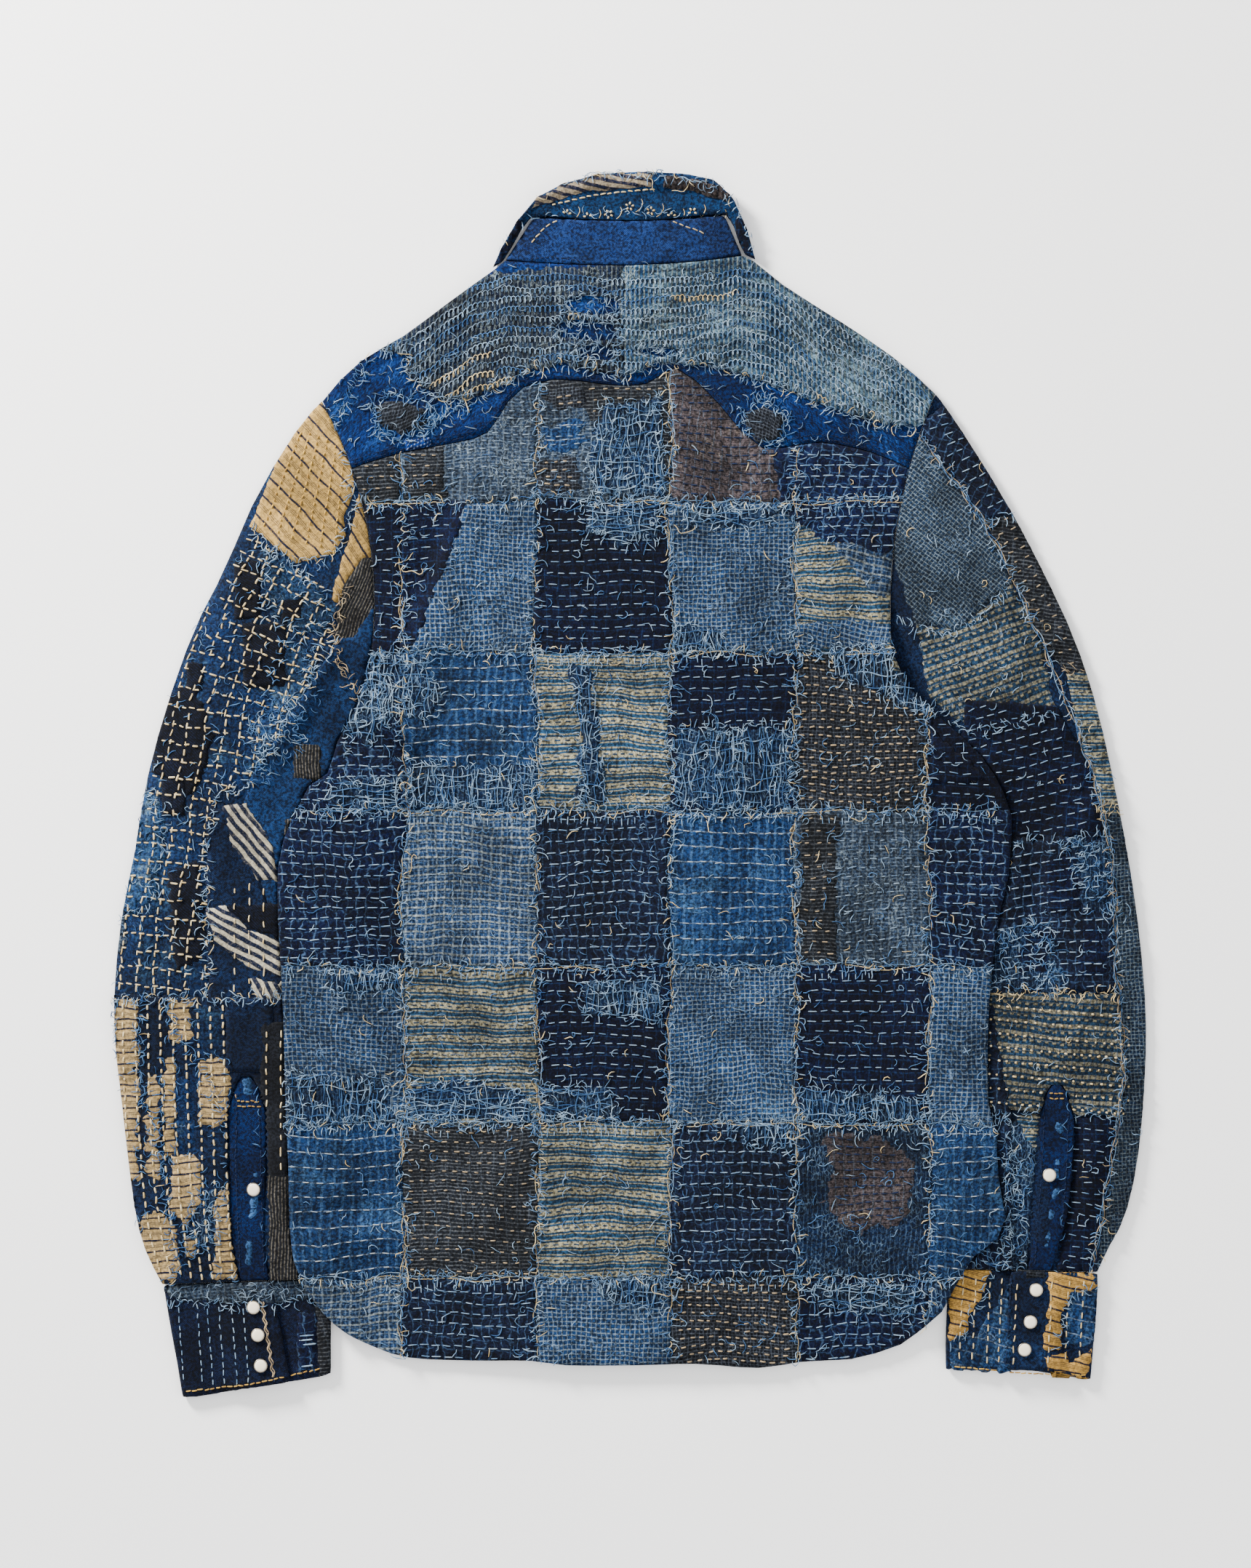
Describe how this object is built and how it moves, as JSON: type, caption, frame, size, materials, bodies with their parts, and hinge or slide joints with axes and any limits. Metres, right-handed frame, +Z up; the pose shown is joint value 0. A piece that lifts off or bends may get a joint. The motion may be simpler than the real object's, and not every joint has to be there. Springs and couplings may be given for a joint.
{
  "type": "patched boro shirt-jacket, laid flat face down",
  "caption": "Long-sleeved boro patchwork shirt-jacket with yoke, stand collar and leaf, snapped cuffs and snap band, lying flat with its back up.",
  "frame": {"origin": "centre of the laid-out garment's outline, on the surface that it lies on", "axes": "+X across the back towards the right sleeve as seen, +Y from the hem to the collar, +Z up from the surface"},
  "size_m": [0.7102, 0.844, 0.0124],
  "materials": {
    "patched_cloth": "indigo patchwork of checks, stripes and sashiko",
    "looped_yoke_cloth": "blue denim under rows of looped thread",
    "front_cloth": "plain worn indigo",
    "dark_denim": "dark denim twill",
    "blue_denim": "mid blue denim twill",
    "collar_cloth": "sprigged blue cloth with striped edge",
    "sleeve_patched_cloth": "indigo, tan and striped patches with running stitch",
    "cuff_cloth": "navy with running stitch",
    "pearl_snap": "cream pearl cap in a dark metal rim"
  },
  "bodies": {
    "root": {"back_panel": "patched_cloth", "yoke": "looped_yoke_cloth", "front_left": "front_cloth", "front_right": "front_cloth", "front_band": "dark_denim", "collar_stand": "blue_denim", "collar_leaf": "collar_cloth", "sleeve_left": "sleeve_patched_cloth", "sleeve_right": "sleeve_patched_cloth", "sleeve_placket_left": "dark_denim", "sleeve_placket_right": "dark_denim", "cuff_left": "cuff_cloth", "cuff_right": "cuff_cloth", "cuff_snap_left_1": "pearl_snap", "cuff_snap_left_2": "pearl_snap", "cuff_snap_left_3": "pearl_snap", "cuff_snap_right_1": "pearl_snap", "cuff_snap_right_2": "pearl_snap", "cuff_snap_right_3": "pearl_snap", "placket_snap_left": "pearl_snap", "placket_snap_right": "pearl_snap", "front_snap_1": "pearl_snap", "front_snap_2": "pearl_snap", "front_snap_3": "pearl_snap", "front_snap_4": "pearl_snap", "front_snap_5": "pearl_snap", "front_snap_6": "pearl_snap", "front_snap_7": "pearl_snap"}
  },
  "joints": []
}
